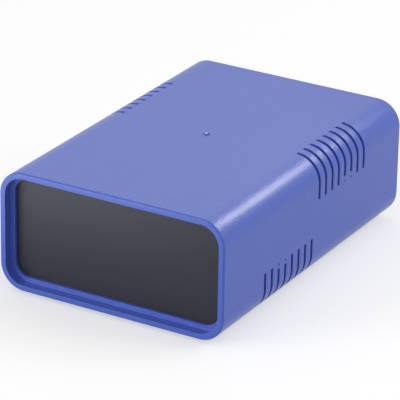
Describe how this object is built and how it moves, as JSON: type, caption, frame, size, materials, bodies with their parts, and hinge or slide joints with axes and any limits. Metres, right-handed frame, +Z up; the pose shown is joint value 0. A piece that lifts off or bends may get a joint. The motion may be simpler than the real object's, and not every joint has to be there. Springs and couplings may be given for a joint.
{
  "type": "direct injection box",
  "caption": "Desktop plastic instrument case with vent slots and a recessed blank front panel; jack sockets, push switches and an XLR output on the rear panel.",
  "frame": {"origin": "on the surface that the feet stand on, under the middle of the case", "axes": "+Z up, -Y out of the blank front panel, +Y out of the connector panel, X across the case"},
  "size_m": [0.095, 0.137, 0.0496],
  "materials": {
    "case_blue": "injection-moulded ABS, fine spark-eroded texture",
    "panel_grey": "satin dark grey sheet",
    "rubber_black": "moulded rubber",
    "screw_steel": "zinc-plated steel",
    "connector_black": "glass-filled nylon",
    "socket_nickel": "nickel-plated",
    "contact_silver": "tinned or silvered contact metal",
    "button_grey": "moulded ABS cap",
    "spring_steel": "drawn spring wire",
    "board_green": "solder-resist green glass-epoxy board",
    "can_metal": "drawn nickel-iron screening can",
    "core_steel": "stacked nickel-iron laminations",
    "bobbin_nylon": "moulded nylon",
    "copper_wire": "enamelled copper wire under tape",
    "resistor_blue": "lacquered ceramic",
    "capacitor_red": "moulded box"
  },
  "bodies": {
    "case": {"board_screws": "screw_steel", "case_screws": "screw_steel", "circuit_board": "board_green", "front_panel": "panel_grey", "ground_lift_spring": "spring_steel", "ground_lift_switch_body": "connector_black", "input_jack_body": "connector_black", "input_jack_bush": "socket_nickel", "input_jack_contacts": "contact_silver", "input_jack_nut": "socket_nickel", "input_jack_washer": "socket_nickel", "lift_capacitor": "capacitor_red", "lift_capacitor_leads": "contact_silver", "link_jack_body": "connector_black", "link_jack_bush": "socket_nickel", "link_jack_contacts": "contact_silver", "link_jack_nut": "socket_nickel", "link_jack_washer": "socket_nickel", "lower_shell": "case_blue", "pad_spring": "spring_steel", "pad_switch_body": "connector_black", "rear_panel": "panel_grey", "resistor_bodies": "resistor_blue", "resistor_leads": "contact_silver", "rubber_feet": "rubber_black", "switch_terminals": "contact_silver", "transformer_base": "bobbin_nylon", "transformer_bobbin": "bobbin_nylon", "transformer_can": "can_metal", "transformer_core": "core_steel", "transformer_pins": "contact_silver", "transformer_winding": "copper_wire", "upper_shell": "case_blue", "xlr_housing": "socket_nickel", "xlr_insert": "connector_black", "xlr_nuts": "screw_steel", "xlr_pins": "contact_silver", "xlr_screws": "screw_steel"},
    "ground_lift_button": {"ground_lift_plunger": "button_grey", "ground_lift_button": "button_grey"},
    "pad_button": {"pad_plunger": "button_grey", "pad_button": "button_grey"}
  },
  "joints": [
    {"name": "ground_lift_press", "type": "slide", "parent": "case", "child": "ground_lift_button", "axis": [0, -1, 0], "range_m": [0, 0.003], "stiffness_N_per_m": 300, "springref_m": -0.003, "deforming": ["ground_lift_spring"]},
    {"name": "pad_press", "type": "slide", "parent": "case", "child": "pad_button", "axis": [0, -1, 0], "range_m": [0, 0.003], "stiffness_N_per_m": 300, "springref_m": -0.003, "deforming": ["pad_spring"]}
  ]
}
